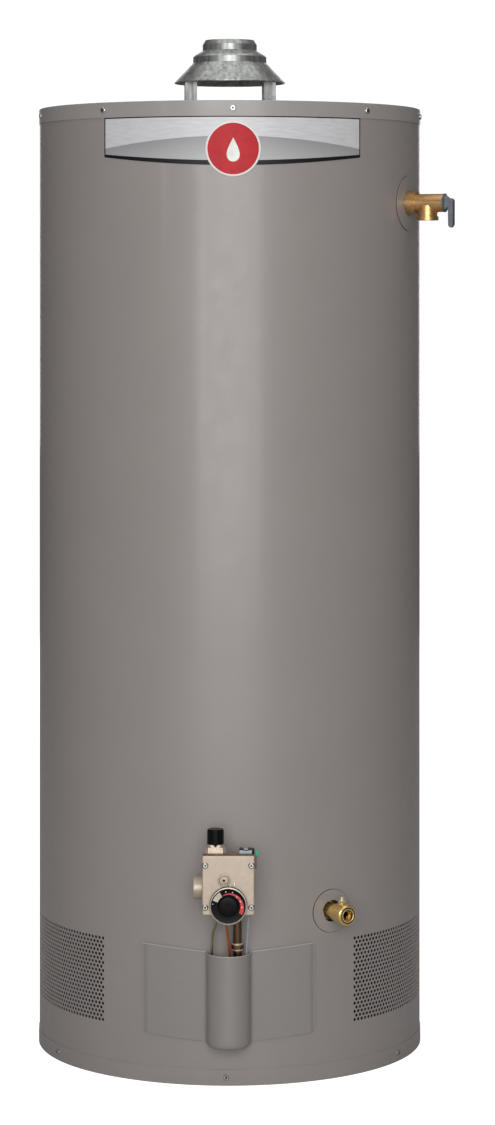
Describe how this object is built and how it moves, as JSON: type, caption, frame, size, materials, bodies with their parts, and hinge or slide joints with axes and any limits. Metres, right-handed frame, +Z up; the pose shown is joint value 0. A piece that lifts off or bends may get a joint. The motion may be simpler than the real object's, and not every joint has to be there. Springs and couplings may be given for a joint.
{
  "type": "tank water heater",
  "caption": "Upright gas water heater: insulated steel tank in a round jacket with draft hood, gas control, relief and drain valves and a burner cover.",
  "frame": {"origin": "on the tank's axis at floor level", "axes": "+Z up along the tank, front with the gas control towards -Y, relief valve on the +X side"},
  "size_m": [0.5555, 0.5958, 1.352],
  "materials": {
    "jacket_paint": "satin warm grey enamel",
    "plate_print": "satin silver print with black edging",
    "badge_print": "gloss domed emblem",
    "zinc": "zinc plated",
    "galvanised": "galvanised sheet",
    "tank_steel": "black primed steel, glass lined inside",
    "aluminised": "aluminised sheet",
    "gasket_fibre": "woven glass fibre",
    "sight_glass": "clear",
    "foam": "open-cell polyurethane foam",
    "nipple_steel": "zinc plated pipe",
    "plastic_grey": "moulded",
    "plastic_white": "moulded",
    "tube_bronze": "bronze tinted tube",
    "brass_cast": "cast and turned",
    "chrome_ball": "polished",
    "tube_aluminium": "drawn tube",
    "copper_lead": "drawn copper",
    "lead_sheath": "silicone sheath",
    "control_cast": "die cast",
    "control_plate": "bead blasted",
    "black_gloss": "gloss black",
    "button_grey": "satin",
    "terminal_teal": "moulded",
    "spring_steel": "drawn wire"
  },
  "bodies": {
    "heater": {"outer_jacket": "jacket_paint", "jacket_lid": "jacket_paint", "base_pan": "jacket_paint", "relief_escutcheon": "jacket_paint", "drain_escutcheon": "jacket_paint", "name_plate": "plate_print", "round_badge": "badge_print", "lid_screws": "zinc", "base_screws": "zinc", "face_plate_screws": "zinc", "inner_door_screws": "zinc", "relief_cap": "zinc", "pressure_tap_plug": "zinc", "draft_hood": "galvanised", "draft_hood_legs": "galvanised", "tank_shell": "tank_steel", "tank_top_head": "tank_steel", "tank_bottom_head": "tank_steel", "combustion_skirt": "tank_steel", "tank_spuds": "tank_steel", "flue_tube": "tank_steel", "flue_baffle": "tank_steel", "flame_arrestor": "aluminised", "burner": "aluminised", "burner_legs": "aluminised", "inner_door": "aluminised", "pilot_burner": "aluminised", "door_gasket": "gasket_fibre", "base_insulation": "gasket_fibre", "sight_glass": "sight_glass", "insulation_foam": "foam", "hot_nipple": "nipple_steel", "cold_nipple": "nipple_steel", "anode_rod": "nipple_steel", "nipple_seals": "plastic_grey", "dip_tube": "plastic_white", "burner_manifold_tube": "tube_bronze", "manifold_nut": "brass_cast", "burner_orifice": "brass_cast", "thermostat_shank": "brass_cast", "relief_valve_body": "brass_cast", "drain_valve_body": "brass_cast", "pilot_tube": "tube_aluminium", "thermocouple": "copper_lead", "thermostat_probe": "copper_lead", "igniter_lead": "lead_sheath", "control_body": "control_cast", "control_face_plate": "control_plate", "pilot_terminal": "terminal_teal", "relief_spring": "spring_steel", "pilot_button_spring": "spring_steel"},
    "gas_cock": {"gas_cock_knob": "black_gloss", "gas_cock_plug": "brass_cast"},
    "dial": {"temperature_dial": "black_gloss"},
    "button": {"pilot_button": "button_grey"},
    "lever": {"relief_lever": "zinc"},
    "stem": {"relief_stem": "zinc"},
    "drain": {"drain_stem": "brass_cast", "drain_ball": "chrome_ball"},
    "cover": {"access_cover": "jacket_paint"}
  },
  "joints": [
    {"name": "gas_cock_turn", "type": "hinge", "parent": "heater", "child": "gas_cock", "pos_m": [-0.0163, -0.3, 0.32], "axis": [0, 0, 1], "range_deg": [0, 180]},
    {"name": "temperature_dial_turn", "type": "hinge", "parent": "heater", "child": "dial", "pos_m": [0, -0.33, 0.2437], "axis": [0, -1, 0], "range_deg": [-60, 210]},
    {"name": "pilot_button_press", "type": "slide", "parent": "heater", "child": "button", "axis": [0, 0, -1], "range_m": [0, 0.0045], "stiffness_N_per_m": 600, "springref_m": -0.001, "deforming": ["pilot_button_spring"]},
    {"name": "relief_lever_lift", "type": "hinge", "parent": "heater", "child": "lever", "pos_m": [0.29161, -0.12559, 1.131], "axis": [-0.3955, -0.9184, 0], "range_deg": [0, 85]},
    {"name": "relief_stem_lift", "type": "slide", "parent": "heater", "child": "stem", "axis": [0.9184, -0.3955, 0], "range_m": [0, 0.003], "deforming": ["relief_spring"]},
    {"name": "drain_stem_turn", "type": "hinge", "parent": "heater", "child": "drain", "pos_m": [0.14473, -0.24086, 0.216], "axis": [0, 0, 1], "range_deg": [0, 90]},
    {"name": "access_cover_pull", "type": "slide", "parent": "heater", "child": "cover", "axis": [0, -1, 0], "range_m": [0, 0.12]}
  ],
  "couplings": [
    {"joint": "relief_stem_lift", "follows": "relief_lever_lift", "m_per_rad": 0.0020202}
  ]
}
